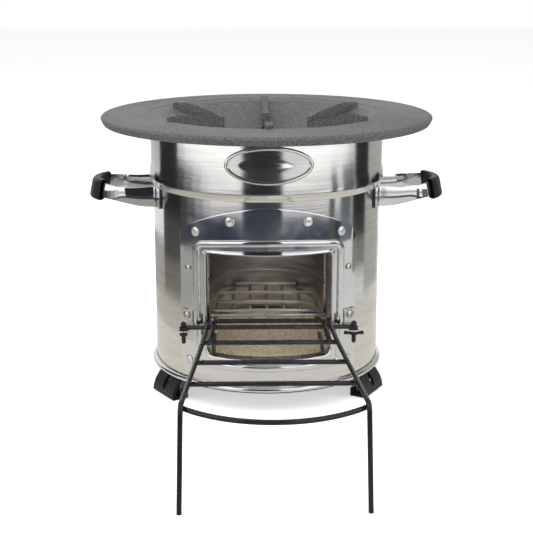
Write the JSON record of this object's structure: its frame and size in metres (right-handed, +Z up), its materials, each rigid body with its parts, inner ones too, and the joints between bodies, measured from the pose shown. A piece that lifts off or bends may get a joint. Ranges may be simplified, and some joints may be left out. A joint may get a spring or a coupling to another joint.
{
  "type": "biomass cookstove",
  "caption": "Round steel rocket stove with a ribbed cast-iron top, side fuel door with wire fuel stand, lift-out grate, carrying handles and moulded feet.",
  "frame": {"origin": "on the floor, under the middle of the whole footprint of stove and stand; the stove's upright axis is 0.0944 m behind it", "axes": "+Z up along the stove's axis, -Y towards the fuel door and the wire stand, +X to the right seen from the front"},
  "size_m": [0.3804, 0.5348, 0.2943],
  "materials": {
    "cast_iron": "sand-cast, matt black",
    "brushed_steel": "brushed round the body",
    "polished_steel": "mirror polished",
    "chamber_steel": "plain rolled, brownish",
    "zinc_steel": "zinc plated",
    "rivet_aluminium": "satin",
    "black_enamel": "glossy black",
    "black_plastic": "satin moulded",
    "fired_clay": "granular fired clay, matt",
    "mineral_wool": "compressed fibre"
  },
  "bodies": {
    "stove": {"base_pan": "brushed_steel", "body_shell": "brushed_steel", "bracket_bolt_left": "black_enamel", "bracket_bolt_right": "black_enamel", "bracket_screw_left": "zinc_steel", "bracket_screw_right": "zinc_steel", "collar": "brushed_steel", "combustion_chamber": "chamber_steel", "cooktop": "cast_iron", "cooktop_bolt_1": "zinc_steel", "cooktop_bolt_2": "zinc_steel", "cooktop_bolt_3": "zinc_steel", "door_frame": "polished_steel", "floor_tile": "fired_clay", "foot_1": "black_plastic", "foot_2": "black_plastic", "foot_3": "black_plastic", "foot_bracket_1": "zinc_steel", "foot_bracket_2": "zinc_steel", "foot_bracket_3": "zinc_steel", "frame_rivet_left_1": "rivet_aluminium", "frame_rivet_left_2": "rivet_aluminium", "frame_rivet_left_3": "rivet_aluminium", "frame_rivet_right_1": "rivet_aluminium", "frame_rivet_right_2": "rivet_aluminium", "frame_rivet_right_3": "rivet_aluminium", "frame_screw_left": "zinc_steel", "frame_screw_right": "zinc_steel", "fuel_tunnel": "chamber_steel", "grate_peg": "zinc_steel", "handle_grip_left": "black_plastic", "handle_grip_right": "black_plastic", "handle_strap_left": "polished_steel", "handle_strap_right": "polished_steel", "insulation": "mineral_wool", "stand_bolted_bar": "black_enamel", "stand_bracket_left": "zinc_steel", "stand_bracket_right": "zinc_steel", "stand_cross_bar_1": "black_enamel", "stand_cross_bar_2": "black_enamel", "stand_cross_bar_3": "black_enamel", "stand_front_arc": "black_enamel", "stand_leg_left": "black_enamel", "stand_leg_right": "black_enamel", "stand_loop": "black_enamel", "tile_rail_left": "zinc_steel", "tile_rail_right": "zinc_steel"},
    "grate": {"grate_frame": "chamber_steel", "grate_bar_1": "chamber_steel", "grate_bar_2": "chamber_steel", "grate_bar_3": "chamber_steel", "grate_bar_4": "chamber_steel", "grate_bar_5": "chamber_steel"},
    "left_nut": {"wing_nut_left": "black_enamel"},
    "right_nut": {"wing_nut_right": "black_enamel"}
  },
  "joints": [
    {"name": "grate_lift", "type": "slide", "parent": "stove", "child": "grate", "axis": [0, 0, 1], "range_m": [0, 0.04]},
    {"name": "left_nut_spin", "type": "hinge", "parent": "stove", "child": "left_nut", "pos_m": [-0.0857, -0.0141, 0.0808], "axis": [0, 0, 1], "continuous": true},
    {"name": "right_nut_spin", "type": "hinge", "parent": "stove", "child": "right_nut", "pos_m": [0.0857, -0.0141, 0.0808], "axis": [0, 0, 1], "continuous": true}
  ]
}
